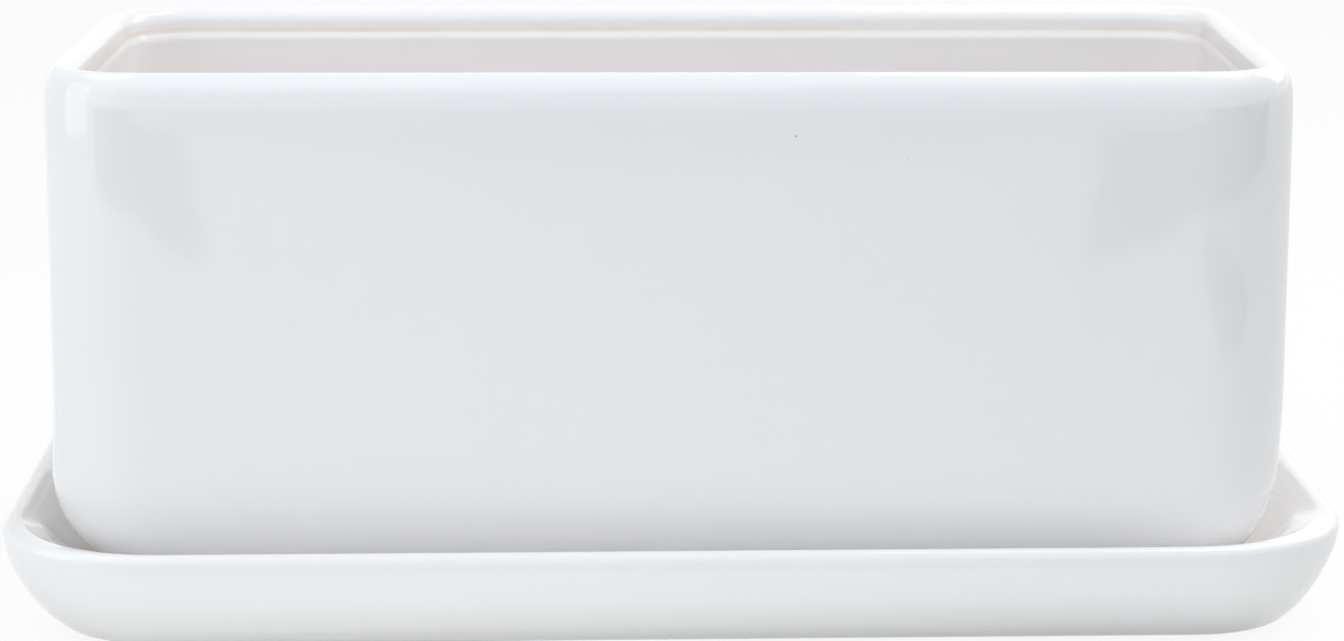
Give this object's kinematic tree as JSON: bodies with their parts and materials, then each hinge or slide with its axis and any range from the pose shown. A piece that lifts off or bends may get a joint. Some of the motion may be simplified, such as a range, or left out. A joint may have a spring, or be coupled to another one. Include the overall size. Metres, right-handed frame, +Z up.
{
  "type": "indoor herb planter",
  "caption": "Rectangular glazed ceramic planting trough with rounded corners, standing in a flared glazed drip tray on rubber pads, with loose nets over its drain holes.",
  "frame": {"origin": "on the shelf that the planter stands on, below the middle of the trough", "axes": "+Z up, +X along the trough's length, -Y towards the front"},
  "size_m": [0.33, 0.1716, 0.1394],
  "materials": {
    "pot_glaze": "gloss",
    "tray_glaze": "gloss",
    "net_plastic": "matte",
    "pad_rubber": "matte"
  },
  "bodies": {
    "tray": {"drip_tray": "tray_glaze", "tray_pad_front_left": "pad_rubber", "tray_pad_front_right": "pad_rubber", "tray_pad_back_left": "pad_rubber", "tray_pad_back_right": "pad_rubber"},
    "pot": {"planter_pot": "pot_glaze"},
    "screen_left": {"drain_screen_left": "net_plastic"},
    "screen_middle": {"drain_screen_middle": "net_plastic"},
    "screen_right": {"drain_screen_right": "net_plastic"}
  },
  "joints": [
    {"name": "pot_lift", "type": "slide", "parent": "tray", "child": "pot", "axis": [0, 0, 1], "range_m": [0, 0.12]},
    {"name": "screen_lift_left", "type": "slide", "parent": "pot", "child": "screen_left", "axis": [0, 0, 1], "range_m": [0, 0.16]},
    {"name": "screen_lift_middle", "type": "slide", "parent": "pot", "child": "screen_middle", "axis": [0, 0, 1], "range_m": [0, 0.16]},
    {"name": "screen_lift_right", "type": "slide", "parent": "pot", "child": "screen_right", "axis": [0, 0, 1], "range_m": [0, 0.16]}
  ]
}
